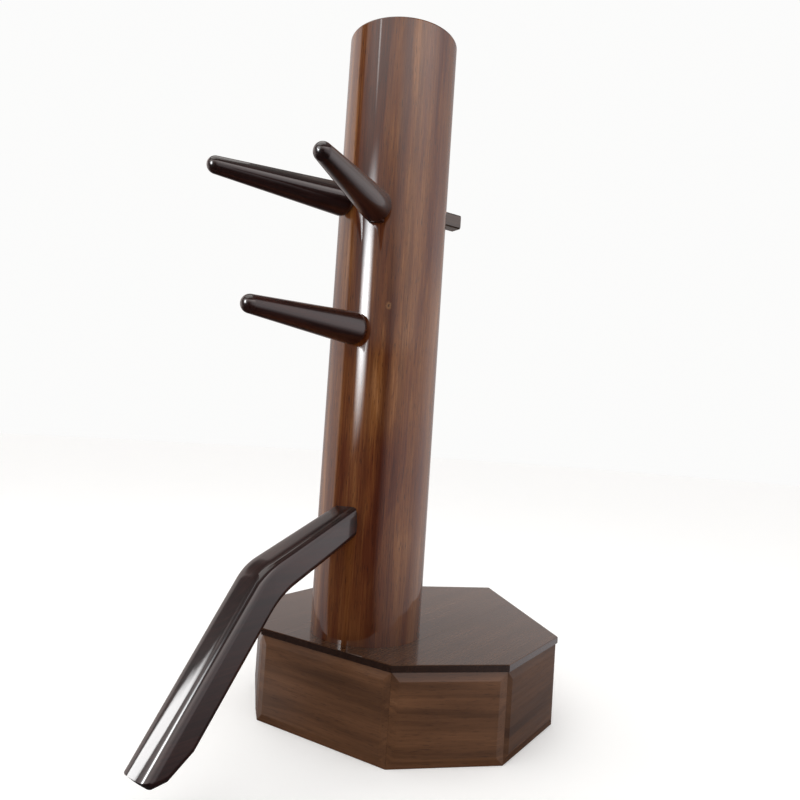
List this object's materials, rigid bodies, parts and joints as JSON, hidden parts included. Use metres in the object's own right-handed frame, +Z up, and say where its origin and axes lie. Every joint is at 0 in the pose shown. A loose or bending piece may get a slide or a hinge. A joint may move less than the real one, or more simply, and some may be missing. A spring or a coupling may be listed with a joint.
{
  "type": "wing chun wooden dummy",
  "caption": "Free-standing wooden training dummy: a turned post with tapered arms and a bent leg, on a low panelled base whose rear fits a room corner.",
  "frame": {"origin": "floor level, on the axis of the trunk", "axes": "+Z up along the trunk, the leg and the middle arm point along -Y, the corner of the base points along +Y, +X is the right side seen along +Y"},
  "size_m": [0.618, 1.0974, 1.385],
  "materials": {
    "trunk_wood": "clear gloss lacquer on walnut-brown wood",
    "limb_wood": "high-gloss dark brown lacquer",
    "base_wood": "gloss lacquer on dark walnut boards",
    "inner_wood": "unfinished softwood",
    "steel": "zinc-plated"
  },
  "bodies": {
    "post": {"trunk": "trunk_wood", "top_plank_left": "base_wood", "top_plank_middle": "base_wood", "top_plank_right": "base_wood", "panel_front": "base_wood", "panel_diagonal_right": "base_wood", "panel_side_right": "base_wood", "panel_rear_right": "base_wood", "panel_rear_left": "base_wood", "panel_side_left": "base_wood", "panel_diagonal_left": "base_wood", "bottom_board": "inner_wood", "block_front_left": "inner_wood", "block_front_right": "inner_wood", "block_side_front_right": "inner_wood", "block_side_rear_right": "inner_wood", "block_rear": "inner_wood", "block_side_rear_left": "inner_wood", "block_side_front_left": "inner_wood", "cleat_middle": "inner_wood", "cleat_rear": "inner_wood", "coach_screw_front_left": "steel", "coach_screw_rear_left": "steel", "coach_screw_front_right": "steel", "coach_screw_rear_right": "steel", "washer_front_left": "steel", "washer_rear_left": "steel", "washer_front_right": "steel", "washer_rear_right": "steel"},
    "arm_upper_left": {"arm_upper_left": "limb_wood"},
    "arm_upper_left_peg": {"arm_upper_left_peg": "limb_wood"},
    "arm_upper_right": {"arm_upper_right": "limb_wood"},
    "arm_upper_right_peg": {"arm_upper_right_peg": "limb_wood"},
    "arm_middle": {"arm_middle": "limb_wood"},
    "arm_middle_peg": {"arm_middle_peg": "limb_wood"},
    "leg": {"leg": "limb_wood"},
    "leg_peg": {"leg_peg": "limb_wood"}
  },
  "joints": [
    {"name": "arm_upper_left_slide", "type": "slide", "parent": "post", "child": "arm_upper_left", "axis": [-0.373, -0.9278, 0], "range_m": [0, 0.0036]},
    {"name": "arm_upper_left_peg_pull", "type": "slide", "parent": "arm_upper_left", "child": "arm_upper_left_peg", "axis": [0, 0, 1], "range_m": [0, 0.045]},
    {"name": "arm_upper_right_slide", "type": "slide", "parent": "post", "child": "arm_upper_right", "axis": [0.2874, -0.9578, 0], "range_m": [0, 0.0036]},
    {"name": "arm_upper_right_peg_pull", "type": "slide", "parent": "arm_upper_right", "child": "arm_upper_right_peg", "axis": [0, 0, 1], "range_m": [0, 0.045]},
    {"name": "arm_middle_slide", "type": "slide", "parent": "post", "child": "arm_middle", "axis": [-0.0454, -0.999, 0], "range_m": [0, 0.0036]},
    {"name": "arm_middle_peg_pull", "type": "slide", "parent": "arm_middle", "child": "arm_middle_peg", "axis": [0, 0, 1], "range_m": [0, 0.045]},
    {"name": "leg_slide", "type": "slide", "parent": "post", "child": "leg", "axis": [-0.0454, -0.999, 0], "range_m": [0, 0.0036]},
    {"name": "leg_peg_pull", "type": "slide", "parent": "leg", "child": "leg_peg", "axis": [0, 0, 1], "range_m": [0, 0.045]}
  ]
}
